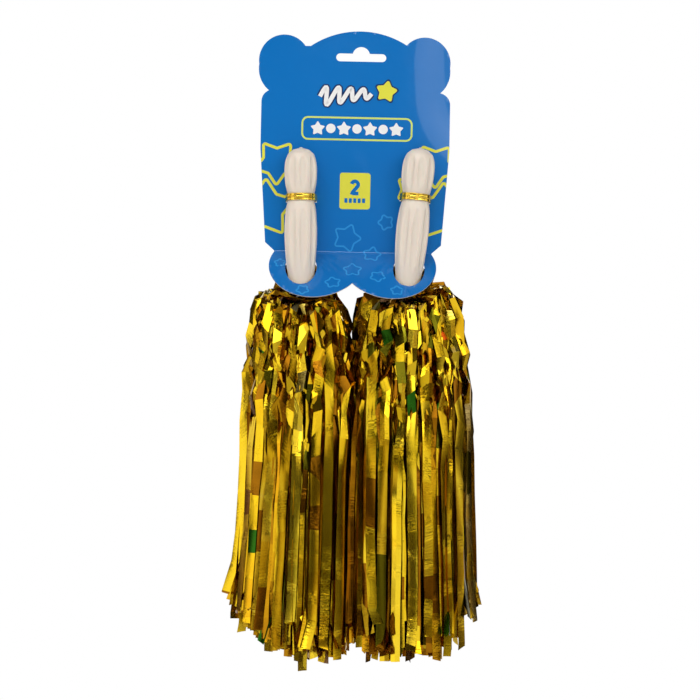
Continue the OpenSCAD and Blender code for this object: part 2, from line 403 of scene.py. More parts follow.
def card():
    """The die-cut card: its flat outline from the CAD node, cut into a grid, then gently warped."""
    bm = bmesh.new()
    bm.from_mesh(frame["nodes"]["header_card"].data)
    bmesh.ops.scale(bm, vec=(1 / MM,) * 3, verts=bm.verts)
    bmesh.ops.remove_doubles(bm, verts=bm.verts, dist=1e-4)
    bmesh.ops.dissolve_limit(bm, angle_limit=0.0005, verts=bm.verts, edges=bm.edges)
    lo, hi = (np.array(c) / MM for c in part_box("header_card"))
    cut_planes(bm, 0, np.arange(lo[0] + SHEET_GRID, hi[0], SHEET_GRID))
    cut_planes(bm, 2, np.arange(lo[2] + SHEET_GRID, hi[2], SHEET_GRID))
    bmesh.ops.triangulate(bm, faces=[f for f in bm.faces if len(f.verts) > 4])
    front_flap = Vector((0, -math.cos(FLAP_ANGLE), math.sin(FLAP_ANGLE)))
    for f in bm.faces:
        on_flap = f.calc_center_median().z < FOLD_Z - 0.4
        facing = f.normal.dot(front_flap if on_flap else Vector((0, -1, 0)))
        f.material_index = 0 if facing > 0.5 else 2 if facing < -0.5 else 1
    for p in bm.verts:
        y, z = p.co.y, p.co.z - FOLD_Z
        down = -y * math.sin(FLAP_ANGLE) - z * math.cos(FLAP_ANGLE)
        on_flap = z < -0.6 and y < 0.3
        v = FOLD_Z - down if on_flap else p.co.z
        p.co += (front_flap if on_flap else Vector((0, -1, 0))) * float(warp(p.co.x, v))
    bmesh.ops.scale(bm, vec=(MM,) * 3, verts=bm.verts)
    bmesh.ops.recalc_face_normals(bm, faces=bm.faces)
    mesh = bpy.data.meshes.new("card_sheet")
    bm.to_mesh(mesh)
    bm.free()
    obj = finish_mesh("card_sheet", mesh, [INK_BLUE, BOARD_EDGE, BOARD_BACK], True, 32)
    return rest_on(obj, "card", "card", "header_card")


# ---------------------------------------------------------------- print on the card

def arc_corners(points, radius, step_deg=12):
    """A closed outline with its corners rounded by arcs."""
    out, n = [], len(points)
    for i in range(n):
        p, a, b = (np.array(points[k % n], float) for k in (i, i - 1, i + 1))
        ua, ub = (a - p) / np.linalg.norm(a - p), (b - p) / np.linalg.norm(b - p)
        half = math.acos(np.clip(ua @ ub, -1, 1)) / 2
        back = min(radius / math.tan(half), 0.48 * min(np.linalg.norm(a - p), np.linalg.norm(b - p)))
        r = back * math.tan(half)
        centre = p + (ua + ub) / np.linalg.norm(ua + ub) * r / math.sin(half)
        s, e = p + ua * back - centre, p + ub * back - centre
        a0, a1 = math.atan2(s[1], s[0]), math.atan2(e[1], e[0])
        turn = (a1 - a0 + math.pi) % (2 * math.pi) - math.pi
        steps = max(2, int(abs(math.degrees(turn)) / step_deg) + 1)
        out += [centre + r * np.array([math.cos(a0 + turn * k / steps), math.sin(a0 + turn * k / steps)])
                for k in range(steps + 1)]
    return np.array(out)


def star(x, v, radius, turn_deg=90, inner=0.6, corner=1.2):
    """A five-pointed star with round corners."""
    points = []
    for k in range(10):
        a = math.radians(turn_deg + 36 * k)
        r = radius * (inner if k % 2 else 1)
        points.append((x + r * math.cos(a), v + r * math.sin(a)))
    return arc_corners(points, corner)


def panel(x, v, width, height, corner):
    a, b = width / 2, height / 2
    return arc_corners([(x - a, v - b), (x + a, v - b), (x + a, v + b), (x - a, v + b)], corner)


def disc(x, v, radius, count=28):
    a = np.arange(count) * 2 * math.pi / count
    return np.stack([x + radius * np.cos(a), v + radius * np.sin(a)], 1)


def refine(outline, step, closed=True):
    """The outline with points added, so that none are further apart than step."""
    out, n = [], len(outline)
    for i in range(n if closed else n - 1):
        a, b = outline[i], outline[(i + 1) % n]
        parts = max(1, int(np.linalg.norm(b - a) / step + 0.999))
        out += [a + (b - a) * k / parts for k in range(parts)]
    if not closed:
        out.append(outline[-1])
    return np.array(out)


def stroke(outline, width, closed=True):
    """(points, quads) of a line of that width along an outline."""
    line = refine(np.asarray(outline, float), 1.5, closed)
    n = len(line)
    ahead = np.roll(line, -1, 0) if closed else np.vstack([line[1:], 2 * line[-1] - line[-2]])
    behind = np.roll(line, 1, 0) if closed else np.vstack([2 * line[0] - line[1], line[:-1]])
    t = ahead - behind
    t /= np.maximum(np.linalg.norm(t, axis=1), 1e-9)[:, None]
    side = np.stack([-t[:, 1], t[:, 0]], 1) * width / 2
    last = n if closed else n - 1
    quads = [(i, (i + 1) % n, n + (i + 1) % n, n + i) for i in range(last)]
    return np.vstack([line - side, line + side]), quads


def filled(outline):
    """(points, one face) of a filled outline."""
    return np.asarray(outline, float), [tuple(range(len(outline)))]


def card_edges():
    """Lines that cut the print off at the card's straight sides, as (point, outward direction)."""
    out = []
    for s in (-1, 1):
        edge = CARD_MID + s * (CARD_HALF_W - PRINT_INSET)
        out.append(((edge, TAPER_FROM), (s, 0)))
        out.append(((edge, TAPER_FROM), (s * math.cos(CARD_TAPER), -math.sin(CARD_TAPER))))
    return out


def printed(name, shapes, material, lift, cut=True):
    """Ink on the card: flat shapes cut off at the card's edge, cut into the card's grid, and laid on
    its warped surface as a thin closed layer."""
    bm = bmesh.new()
    for points, faces in shapes:
        vs = [bm.verts.new((p[0], p[1], 0)) for p in points]
        for f in faces:
            bm.faces.new([vs[k] for k in f])
    bmesh.ops.remove_doubles(bm, verts=bm.verts, dist=1e-3)
    if cut:
        for (px, pv), (nx, nv) in card_edges():
            parts = bm.verts[:] + bm.edges[:] + bm.faces[:]
            bmesh.ops.bisect_plane(
                bm, geom=parts, plane_co=(px, pv, 0), plane_no=(nx, nv, 0), clear_outer=True)
    xs, vs = [p.co.x for p in bm.verts], [p.co.y for p in bm.verts]
    lo, _ = (np.array(c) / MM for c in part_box("header_card"))
    for axis, low, high, start in ((0, min(xs), max(xs), lo[0]), (1, min(vs), max(vs), FOLD_Z)):
        first = start + math.floor((low - start) / SHEET_GRID) * SHEET_GRID
        cut_planes(bm, axis, np.arange(first, high, SHEET_GRID))
    bmesh.ops.triangulate(bm, faces=bm.faces[:])
    bmesh.ops.recalc_face_normals(bm, faces=bm.faces)
    if sum(f.normal.z for f in bm.faces) < 0:
        bmesh.ops.reverse_faces(bm, faces=bm.faces)
    top = list(bm.faces)
    copy = bmesh.ops.duplicate(bm, geom=bm.verts[:] + bm.edges[:] + top)
    under = [g for g in copy["geom"] if isinstance(g, bmesh.types.BMFace)]
    low_verts = {v for f in under for v in f.verts}
    bmesh.ops.reverse_faces(bm, faces=under)
    pair = {v: w for v, w in copy["vert_map"].items() if isinstance(v, bmesh.types.BMVert)}
    for e in [e for e in bm.edges if e.is_boundary and e.verts[0] not in low_verts]:
        a, b = e.verts
        if a in pair and b in pair:
            loop = e.link_loops[0]
            first, second = (a, b) if loop.vert == b else (b, a)
            bm.faces.new((first, second, pair[second], pair[first]))
    for p in bm.verts:
        p.co = Vector(sheet_point(p.co.x, p.co.y, PRINT_BACK if p in low_verts else lift)) * MM
    bmesh.ops.recalc_face_normals(bm, faces=bm.faces)
    mesh = bpy.data.meshes.new(name)
    bm.to_mesh(mesh)
    bm.free()
    return rest_on(finish_mesh(name, mesh, [material], True, 40), "card", "card")


def numeral_two(x, v, height):
    """Centre line of a plain figure 2."""
    r = height * 0.27
    top = [(x + r * math.cos(a), v + height / 2 - r + r * math.sin(a))
           for a in np.radians(np.arange(170, -41, -15))]
    return np.array(top + [(x - r, v - height / 2), (x + r * 1.15, v - height / 2)])


def streamer(x, v, width, height, waves):
    """Centre line of a slanted party streamer."""
    t = np.linspace(0, 1, 90)
    y = height / 2 * np.sin(2 * math.pi * waves * t) * (0.75 + 0.25 * np.cos(math.pi * t))
    return np.stack([x - width / 2 + width * t + 0.3 * y, v + y + 2.5 * t], 1)


def print_card():
    """All the print: star outlines cut off by the card's sides, a plain emblem, a frame with a row of
    stars and dots, and a label with the number of pieces."""
    line = 1.9
    big = [star(-56.0, -79.5, 15.8, -90), star(52.0, -79.5, 15.8, -90), star(-63.0, -111.2, 20.5),
           star(58.0, -111.2, 20.5), star(36.4, -96.2, 11.5, 0)]
    printed("print_star_outlines", [stroke(s, line) for s in big], INK_YELLOW, 0.06)
    soft = [star(-7.2, -130, 10.2, 70), star(10, -142, 7, 80), star(-3, -158, 7, 20), star(-16, -171, 6, 100),
            star(14, -164, 6, 60), star(-52, -152, 4.4, 20), star(19, -119, 6, 110),
            star(27, -177, 5, 20), star(-36, -178, 5, 50)]
    printed("print_soft_stars", [stroke(s, 1.1) for s in soft], INK_TINT, 0.05, cut=False)
    printed("print_word_frame", [stroke(panel(-1.9, -55.8, 74.4, 14.9, 4.0), 1.2)], INK_PALE, 0.06)
    row = []
    for k in range(7):
        at = -1.9 + (k - 3) * 8.9
        row.append(filled(star(at, -56.0, 5.3, 90, 0.56, 0.5) if k % 2 == 0 else disc(at, -55.8, 3.2)))
    printed("print_row", row, INK_WHITE, 0.06)
    tail = streamer(-10.0, -34.2, 35, 12.5, 4)
    badge = (17.6, -30.0)
    printed("print_emblem_outline", [stroke(tail, 5.0, False)], INK_NAVY, 0.05)
    printed("print_emblem_streamer", [stroke(tail, 2.9, False)], INK_WHITE, 0.08)
    printed("print_emblem_star_outline", [filled(star(*badge, 9.8, 80, 0.58, 1.6))], INK_NAVY, 0.1)
    printed("print_emblem_star", [filled(star(*badge, 8.2, 80, 0.58, 1.2))], INK_YELLOW, 0.13)
    printed("print_label", [filled(panel(-2.4, -98.1, 20.8, 24.7, 1.9))], INK_YELLOW, 0.06)
    bars = [filled(panel(-2.4 + (k - 2) * 3.0, -104.6, 2.1, 3.2, 0.5)) for k in range(5)]
    printed("print_label_bars", bars, INK_BLUE, 0.1)
    printed("print_label_number", [stroke(numeral_two(-2.5, -95.6, 8.2), 2.5, False)], INK_BLUE, 0.1)


# ---------------------------------------------------------------- handles

HANDLE_FORM = [
    (0, 2.2), (1, 5.6), (4, 8.8), (9, 10.6), (16, 11.1), (24, 10.5), (33, 8.8), (42, 10.3),
    (54, 11.1), (66, 10.8), (78, 9.9), (86, 8.8), (92, 8.3), (98, 8.1),
]
WAIST_DROP = 33
HANDLE_LEN = 98
HANDLE_R = 11.1
FLUTES = 9
FLUTE_TOOL_R = 3.4
FLUTE_DEPTH = 1.6
GRIP_TILT = math.radians(1)
GRIP_FLUTE_END = 90
BORE_R = 6.5
BORE_TOP = 12
HANDLE_ROUND = 180
GATE_MARK = ((0.02, 0.7), (0.8, 0.7), (1.05, 0.55), (1.15, 0.1), (1.3, 0))


def handle_matrix(side):
    """Places a shape on a handle's axis: its origin goes to the waist, and its Z up the handle."""
    turn = JOINTS[side + "_turn"]
    up = Vector(turn["axis"]).normalized()
    back = Vector((0, 1, 0))
    across = back.cross(up).normalized()
    m = Matrix((across, back, up)).transposed().to_4x4()
    m.translation = Vector(turn["pos_m"]) / MM
    return np.array(m, float)


def placed(points, m):
    return np.asarray(points, float) @ m[:3, :3].T + m[:3, 3]


def soft_min(a, b, k):
    h = np.clip(0.5 + 0.5 * (b - a) / k, 0, 1)
    return b * (1 - h) + a * h - k * h * (1 - h)


def handle_radius(drop, angle):
    """The fluted handle's radius at a distance below its top and an angle round it."""
    stations = np.array([p[0] for p in HANDLE_FORM], float)
    index = np.interp(drop, stations, np.arange(len(stations)))
    form = spline(HANDLE_FORM, index)[:, 1]
    form = np.where(drop <= 0, 2.2, form)[:, None]
    head = drop < WAIST_DROP
    middle = WAIST_DROP + (GRIP_FLUTE_END - WAIST_DROP) / 2
    reach = HANDLE_R + FLUTE_TOOL_R - FLUTE_DEPTH + np.where(head, 0, -(drop - middle) * math.tan(GRIP_TILT))
    pitch = 2 * math.pi / FLUTES
    off = (angle + pitch / 2) % pitch - pitch / 2
    c = reach[:, None]
    under = np.clip(FLUTE_TOOL_R ** 2 - (c * np.sin(off)[None]) ** 2, 0, None)
    wall = np.where(under > 0, c * np.cos(off)[None] - np.sqrt(under), form + 3)
    return soft_min(form, np.maximum(wall, form - 2), 0.35)


def handle(side):
    """One smooth baton: domed top with its gate mark, fluted head, waist, fluted grip, open foot."""
    around = HANDLE_ROUND
    angle = np.arange(around) * 2 * math.pi / around
    drops = np.concatenate([np.linspace(0, 9, 34), np.linspace(9, HANDLE_LEN - 0.6, 150)[1:]])
    rings = [(np.full(around, r), -h) for r, h in GATE_MARK]
    rings += [(r, d) for r, d in zip(handle_radius(drops, angle), drops)]
    foot = rings[-1][0].mean()
    rings += [(np.full(around, r), d) for r, d in (
        (foot - 0.1, HANDLE_LEN - 0.25), (foot - 0.45, HANDLE_LEN), (BORE_R + 0.3, HANDLE_LEN),
        (BORE_R, HANDLE_LEN - 0.3), (BORE_R, BORE_TOP), (0.02, BORE_TOP),
    )]
    points = [(r * math.cos(a), r * math.sin(a), WAIST_DROP - d)
              for radii, d in rings for r, a in zip(radii, angle)]
    rows = len(rings)
    faces = [f[::-1] for f in lathe_faces(rows, around)]
    faces += [tuple(range(around)), tuple((rows - 1) * around + k for k in reversed(range(around)))]
    obj = make_mesh(side + "_handle_body", placed(points, handle_matrix(side)), faces, [IVORY], True, 40)
    return rest_on(obj, side + "_baton", "handle", side + "_handle")


# ---------------------------------------------------------------- ties

TIE_PATH_R = 9.8
TIE_BACK = 12.9
TAIL_LEN = 13
TAIL_TURNS = 1.6
BEND_R = 1.1
RIBBON_HALF_W = 2.25
RIBBON_HALF_T = 0.16
TIE_CORE_R = 0.3


def sweep(path, widths, profile, m):
    """A closed tube: the profile (across, out) carried along a path with its width along widths."""
    path, widths = np.asarray(path, float), np.asarray(widths, float)
    tangent = np.gradient(path, axis=0)
    tangent /= np.linalg.norm(tangent, axis=1)[:, None]
    widths = widths - (widths * tangent).sum(1)[:, None] * tangent
    widths /= np.linalg.norm(widths, axis=1)[:, None]
    out = np.cross(tangent, widths)
    n, k = len(path), len(profile)
    p = np.asarray(profile, float)
    points = path[:, None] + widths[:, None] * p[None, :, 0:1] + out[:, None] * p[None, :, 1:2]
    faces = lathe_faces(n, k) + [tuple(reversed(range(k))), tuple((n - 1) * k + i for i in range(k))]
    return placed(points.reshape(-1, 3), m), faces


def tie_half(side_sign):
    """Half of a tie's route, from its front to its free end, with the ribbon's width direction."""
    s = side_sign
    front = [(s * TIE_PATH_R * math.sin(a), -TIE_PATH_R * math.cos(a), 0)
             for a in np.radians(np.arange(0, 90, 4))]
    leg = [(s * (TIE_PATH_R + 0.75 * smooth_step((y - 4) / 4) * smooth_step((11.6 - y) / 2.6)), y, 0)
           for y in np.arange(0, TIE_BACK - 1.2, 1.4)]
    bend = [(s * (TIE_PATH_R - BEND_R * (1 - math.cos(a))), TIE_BACK - BEND_R * (1 - math.sin(a)), 0)
            for a in np.radians((0, 22, 45, 68, 90))]
    bar = [(s * x, TIE_BACK + 0.25 * max(0, 3.5 - x), -0.03 * (8.5 - x) ** 2) for x in (7.4, 6, 4.6, 3.4)]
    turns = np.linspace(0, 1, 26)
    twist = 2 * math.pi * TAIL_TURNS * turns
    radius = 1.0 + 1.9 * (1 - smooth_step(turns / 0.25)) + 1.6 * smooth_step((turns - 0.75) / 0.25)
    axis_y = TIE_BACK + 2.3
    tail = [(s * r * math.cos(w), axis_y + s * r * math.sin(w), -0.9 - (TAIL_LEN - 1) * t)
            for r, w, t in zip(radius, twist, turns)]
    path = front + leg + bend + bar + tail
    straight = len(path) - len(tail)
    widths = [(0, 0, 1)] * straight
    for w, t in zip(twist, turns):
        flat = float(smooth_step(t / 0.2))
        widths.append((flat * -math.sin(w) * s, flat * math.cos(w), (1 - flat) + 0.25))
    return path, widths


def tie(side):
    """The foil ribbon with its three ridges, round the waist, through the card, and twisted behind it."""
    w, t = RIBBON_HALF_W, RIBBON_HALF_T
    across = np.linspace(-w, w, 19)
    ridge = t + 0.34 * np.exp(-(across / 0.42) ** 2) + 0.16 * np.exp(-((np.abs(across) - 2.0) / 0.22) ** 2)
    profile = [(a, h) for a, h in zip(across, ridge)] + [(a, -t) for a in across[::-1]]
    core = [(TIE_CORE_R * math.cos(a), TIE_CORE_R * math.sin(a)) for a in np.radians(np.arange(0, 360, 30))]
    m = handle_matrix(side)
    left_path, left_w = tie_half(-1)
    right_path, right_w = tie_half(1)
    path = left_path[:0:-1] + right_path
    widths = left_w[:0:-1] + right_w
    rng = np.random.default_rng(11 if side == "left" else 12)
    crimp = rng.normal(0, 0.05, (len(path), 3))
    points, faces = sweep(np.array(path) + crimp, widths, profile, m)
    ribbon = make_mesh(side + "_tie_foil", points, [f[::-1] for f in faces], [GOLD_FOIL], True, 50)
    rest_on(ribbon, "card", "tie_foil", side + "_tie_ribbon")
    a, b = np.array(path[0]), np.array(path[-1])
    ends = [a + (a - np.array(path[1])) * 0.6, b + (b - np.array(path[-2])) * 0.6]
    long_path = [ends[0]] + list(np.array(path) + crimp) + [ends[1]]
    points, faces = sweep(long_path, [widths[0]] + widths + [widths[-1]], core, m)
    wire = make_mesh(side + "_tie_core", points, [f[::-1] for f in faces], [WIRE_STEEL], True, 50)
    rest_on(wire, "card", "wire", side + "_tie_wire")


# ---------------------------------------------------------------- tinsel

STRIP_W = 6.4
FILM_HALF_T = 0.05
# A share is how far out of its skirt a strip lies. One outer strip in TOP_EVERY lies on top of the rest.
TOP_SHARE = 1.02
TOP_EVERY, TOP_FIRST = 7, 3
CORE_SHARE = 0.55
# The film keeps this far under the flap, at each turn of its handle in degrees
FLAP_GAPS = ((0, 2.2), (-30, 0.9), (30, 0.9))
FILM_BOX = ((-89.5, 89.5), (-56, 33), (-429, 0))
# Radii sideways and front to back are at these heights below the eye; hems go from inner to outer side
HEIGHTS = (0, 30, 50, 70, 120, 160, 236)
SKIRTS = {
    "left": {"lean": 0.9, "seed": 21, "peak": 5, "inner": (27, 34, 36.5, 37.5, 39, 39.5, 41),
             "outer": (29, 34, 35.5, 33.5, 32, 37, 40),
             "hem": ((-1, 233), (-0.5, 238), (-0.1, 238), (0.2, 234), (0.5, 226), (0.8, 216), (1, 207))},
    "right": {"lean": -1.9, "seed": 42, "peak": 9, "inner": (32, 33, 36.5, 38, 40, 41, 43),
              "outer": (34, 34, 42, 39, 41, 41, 42.5),
              "hem": ((-1, 224), (-0.6, 240), (0, 236), (0.5, 238), (0.8, 226), (1, 204))},
}
DEPTHS = (26, 29, 30, 31, 32, 33, 34)
# Each layer's last number is painted shade: how far its film colour is darkened towards dark brown, more for
# layers further inside.
LAYERS = {
    "outer": {"count": 150, "share": (0.88, 1.0), "slot": "strips_gold", "painted_inner_shade": 0.0},
    "middle": {"count": 100, "share": (0.6, 0.86), "slot": "strips_amber", "painted_inner_shade": 0.3},
    "core": {"count": 46, "share": (0.2, 0.5), "slot": "strips_dark", "painted_inner_shade": 0.6},
}


def outward(side, angle):
    """1 on the pack's outer side of a skirt, and -1 beside the other skirt."""
    return math.cos(angle) * (-1 if side == "left" else 1)


def skirt_radius(side, angle, z):
    """The skirt's outline in plan, wider sideways than front to back."""
    radii = SKIRTS[side]["outer" if outward(side, angle) > 0 else "inner"]
    sideways, deep = float(np.interp(-z, HEIGHTS, radii)), float(np.interp(-z, HEIGHTS, DEPTHS))
    return math.hypot(sideways * math.cos(angle), deep * math.sin(angle))


def strip_route(side, angle, share, length, rng):
    """Control points of one strip from the pull wire's eye, which is the origin: through the eye, out
    to the shoulder, and down to its cut end."""
    c, s = math.cos(angle), math.sin(angle)
    level = abs(c) ** 1.5
    peak = SKIRTS[side]["peak"] if outward(side, angle) > 0 else 3
    shoulder_z = peak * level + (-5 if s < 0 else 7) * (1 - level) + rng.normal(0, 1.3)
    shoulder_z = shoulder_z * share - 6 * (1 - share)
    crest_z = shoulder_z * 0.7 + (9 * s * (1 - 0.6 * level) if s > 0 else 0)
    hem = angle + rng.normal(0, 0.06)

    def at(part, z, turn=angle):
        r = skirt_radius(side, turn, z) * share * part
        return (r * math.cos(turn), r * math.sin(turn), z)
    u, w = rng.uniform(-2, 2, 2)
    side_y = 1 if s >= 0 else -1
    if share < CORE_SHARE and s > 0.3:
        crest = rng.uniform(24, 27)
        return [
            (u, 0, w), (u * 1.3, 6.5, w - 1), (11.5 * c, 11.5 * s, 8), (12.5 * c, 12.5 * s, crest),
            (17.5 * c, 17.5 * s, 10), at(1.0, -62), at(1.0, -140), at(1.0, -length),
        ]
    return [
        (u, 0, w), (u * 1.3, side_y * 6.5, w - 1), at(0.48, crest_z), at(0.82, shoulder_z),
        at(1.0, shoulder_z - 14), at(1.0, -62, angle + rng.normal(0, 0.04)), at(1.0, -140, (angle + hem) / 2),
        at(1.0, -length, hem),
    ]


def crease_stations(length, rng):
    """Where a strip is creased: close together at the crumpled top, further apart lower down."""
    out, s = [0.0], 0.0
    while s < length:
        calm = float(smooth_step((s - 70) / 80))
        s += rng.uniform(6, 15) * (1 - calm) + rng.uniform(14, 34) * calm
        out.append(min(s, length))
    return np.array(out)


def strip(side, angle, share, rng):
    """One film strip: its points, its number of rows, and how far along it each row is. Each row has
    the strip's two edges and the front and back of its middle. The strips that lie on top of all
    the others hang flat."""
    on_top = share > TOP_SHARE
    u = outward(side, angle)
    length = float(np.interp(u, *zip(*SKIRTS[side]["hem"]))) + rng.normal(0, 4) + 6 * math.sin(angle)
    if rng.random() < 0.35 or share < LAYERS["outer"]["share"][0]:
        length -= 18 * rng.random()
    route = spline(strip_route(side, angle, share, length, rng), np.linspace(0, 7, 240))
    steps = np.concatenate([[0], np.cumsum(np.linalg.norm(np.diff(route, axis=0), axis=1))])
    rows = crease_stations(steps[-1], rng)
    n = len(rows)
    centre = np.stack([np.interp(rows, steps, route[:, k]) for k in range(3)], 1)
    calm = smooth_step((rows - 80) / 80)
    free = smooth_step((rows - 8) / 22)
    tame = (1 - 0.88 * calm) * free
    out = np.array([math.cos(angle), math.sin(angle), 0])
    around = np.array([-math.sin(angle), math.cos(angle), 0])
    zigzag = rng.uniform(0.3, 1.9, n) * np.where(np.arange(n) % 2, 1, -1)
    centre = centre + (zigzag * tame)[:, None] * out + (rng.normal(0, 0.9, n) * tame)[:, None] * around
    drift = np.cumsum(rng.normal(0, 0.3, n)) * calm
    centre = centre + drift[:, None] * around
    if rng.random() < 0.4:
        reach = rng.uniform(10, 26)
        bend = smooth_step((rows - rows[-1] + reach) / reach) ** 2
        push = rng.normal(0, 4.5) * around + rng.uniform(-3, 5) * out + np.array([0, 0, rng.uniform(0, 3)])
        centre = centre + bend[:, None] * push
    tangent = np.gradient(centre, axis=0)
    tangent /= np.maximum(np.linalg.norm(tangent, axis=1), 1e-6)[:, None]
    base = around - (tangent @ around)[:, None] * tangent
    base /= np.maximum(np.linalg.norm(base, axis=1), 1e-6)[:, None]
    lift = np.cross(tangent, base)
    settled = rng.normal(0, 0.2)
    if rng.random() < 0.3:
        settled += rng.uniform(-1.2, 1.2)
    if on_top:
        settled *= 0.35
    c, facing = math.cos(angle), 1 if math.sin(angle) < 0 else -1
    settled += rng.uniform(0.2, 1.2) * c * facing * abs(c) ** 3
    yaw = rng.normal(0, 0.42, n) * tame + settled
    yaw = yaw + np.cumsum(rng.normal(0, 0.035 if on_top else 0.07, n)) * calm
    across = base * np.cos(yaw)[:, None] + lift * np.sin(yaw)[:, None]
    normal = np.cross(tangent, across)
    width = STRIP_W / 2 * (1 - 0.12 * tame * rng.random(n)) * (0.35 + 0.65 * free)
    skew = rng.normal(0, 2.0, n) * tame + rng.normal(0, 0.5, n)
    fold = rng.normal(0, 0.6, n) * tame + rng.normal(0, 0.3) * calm
    left = centre - across * width[:, None] + tangent * skew[:, None]
    right = centre + across * width[:, None] - tangent * skew[:, None]
    middle = centre + normal * fold[:, None]
    thick = normal * FILM_HALF_T
    points = np.stack([left, middle + thick, right, middle - thick], 1).reshape(-1, 3)
    return points, n, rows


def soften(x, low, high, give=4.0):
    """Eases values that would pass low or high, so that they stop there."""
    x = np.where(x > high - give, high - give + give * np.tanh((x - high + give) / give), x)
    return np.where(x < low + give, low + give - give * np.tanh((low + give - x) / give), x)


def clear_of_neighbours(side, points):
    """Keeps the film under the folded flap, both as it hangs and with its handle turned either way,
    and inside the pack's own space."""
    joint = JOINTS[side + "_turn"]
    pivot = np.array(joint["pos_m"]) / MM
    x, y, z = points.T
    for turn, gap in FLAP_GAPS:
        spin = np.array(Matrix.Rotation(math.radians(turn), 3, Vector(joint["axis"])))
        tx, ty, tz = ((points - pivot) @ spin.T + pivot).T
        down = np.clip(-ty / math.sin(FLAP_ANGLE), 0, FLAP_LEN)
        under = FOLD_Z - down * math.cos(FLAP_ANGLE) - gap - (tz - points[:, 2])
        lobe_half = np.sqrt(np.clip(LOBE_R ** 2 - (down - LOBE_DOWN) ** 2, 0, None))
        lobe = np.abs(np.abs(tx - CARD_MID) - LOBE_MID) < lobe_half
        covered = lobe & (ty > -34.5) & (ty < 2)
        z = np.where(covered & (z > under), under - 0.15 * (z - under), z)
    return np.stack([soften(v, *limits) for v, limits in zip((x, y, z), FILM_BOX)], 1)


def facet_reflection_tones(side, angle, rows, rng, on_top):
    """The painted reflection tone and hue of each stretch of a strip between two creases, which stand in for
    the light and dark that the film mirrors.
    """
    u, count = outward(side, angle), len(rows) - 1
    draw = rng.random()
    # Each strip draws a dark, middle or light painted reflection tone.
    low, spread = (0.12, 0.2) if draw < 0.22 else (0.34, 0.14) if draw < 0.45 else (0.55, 0.25)
    reflection_tone = low + spread * rng.random()
    # The strips on top of the others keep a light painted reflection tone.
    if on_top:
        reflection_tone = max(reflection_tone, 0.6)
    reflection_tones = np.clip(reflection_tone + rng.normal(0, 0.06, count), 0, 0.9)
    # A few facets get a dark painted reflection.
    reflection_tones[rng.random(count) < 0.08] = 0.15
    # Painted highlights: a pale band high on the left skirt's outer side, and pale lower stretches on the
    # right skirt's outer side.
    if side == "left" and u > 0.985 and math.sin(angle) < 0.05:
        reflection_tones[(rows[1:] > 35) & (rows[1:] < 85)] = 1.1
    if side == "right" and u > 0.94:
        reflection_tones[(rows[1:] > 125)] = 0.9
    # A few facets get a painted green, olive or rust reflection.
    reflection_hues = rng.choice([0.0, 0.2, 0.5, 0.8], count, p=[0.94, 0.04, 0.014, 0.006])
    return reflection_tones, reflection_hues


def skirt_layer(side, layer, material):
    """All the strips of one layer, as one piece whose strips start at the pull wire's eye."""
    facts, skirt = LAYERS[layer], SKIRTS[side]
    rng = np.random.default_rng(skirt["seed"] + list(LAYERS).index(layer))
    eye = np.array(JOINTS[side + "_swing"]["pos_m"]) / MM
    points, faces, reflection_tones, reflection_hues, uvs, lengths, base = [], [], [], [], [], [], 0
    for i in range(facts["count"]):
        angle = (i + rng.uniform(-0.5, 0.5)) / facts["count"] * 2 * math.pi
        share = rng.uniform(*facts["share"])
        if layer == "outer" and i % TOP_EVERY == TOP_FIRST:
            share = TOP_SHARE + rng.uniform(0.01, 0.04)
        p, n, rows = strip(side, angle, share, rng)
        p[:, 0] += p[:, 2] * math.tan(math.radians(skirt["lean"]))
        points.append(p + eye)
        quads = [tuple(base + k for k in f) for f in lathe_faces(n, 4)]
        quads += [(base, base + 1, base + 2, base + 3)[::-1], tuple(base + 4 * (n - 1) + k for k in range(4))]
        faces += quads
        reflection_tone, reflection_hue = facet_reflection_tones(side, angle, rows, rng, share > TOP_SHARE)
        reflection_tones += list(np.repeat(reflection_tone, 4)) + [reflection_tone[0], reflection_tone[-1]]
        reflection_hues += list(np.repeat(reflection_hue, 4)) + [reflection_hue[0], reflection_hue[-1]]
        shift = rng.uniform(0, 40, 2)
        across = np.tile([-0.3, 0, 0.3, 0], n) + shift[0]
        uvs.append(np.stack([across, np.repeat(rows, 4) / 10 + shift[1]], 1))
        lengths.append(rows[-1])
        base += 4 * n
    name = f"{side}_film_{layer}"
    obj = make_mesh(name, clear_of_neighbours(side, np.vstack(points)), faces, [material], True, 18)
    mesh = obj.data
    for key, values in (("reflection_tone", reflection_tones), ("reflection_hue", reflection_hues)):
        mesh.attributes.new(key, "FLOAT", "FACE").data.foreach_set("value", np.array(values, np.float32))
    uv = np.vstack(uvs).astype(np.float32)
    corner = np.zeros(len(mesh.loops), np.int32)
    mesh.loops.foreach_get("vertex_index", corner)
    mesh.uv_layers.new(name="strip").data.foreach_set("uv", uv[corner].ravel())
    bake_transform(obj)
    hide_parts(f"{side}_{layer}_strips")
    return obj


# ---------------------------------------------------------------- scene

SENSOR_MM = 36
VIEW_SPAN = 0.476
CAMERA_FAR = 1.35
CAMERA_ROLL = math.radians(-1.2)
VIEW_X, VIEW_Z = -0.0035, -0.2062
FLOOR_Z, FLOOR_R = -0.9, 2.4
LAMP_AIM = (0, 0, -0.22)


def camera():
    """A long lens straight in front, rolled as the picture is."""
    data = bpy.data.cameras.new("camera")
    data.sensor_width = SENSOR_MM
    data.lens = SENSOR_MM * CAMERA_FAR / VIEW_SPAN
    obj = bpy.data.objects.new("camera", data)
    obj.location = (VIEW_X, -CAMERA_FAR, VIEW_Z)
    obj.rotation_euler = (math.pi / 2, CAMERA_ROLL, 0)
    bpy.context.scene.collection.objects.link(obj)
    bpy.context.scene.camera = obj


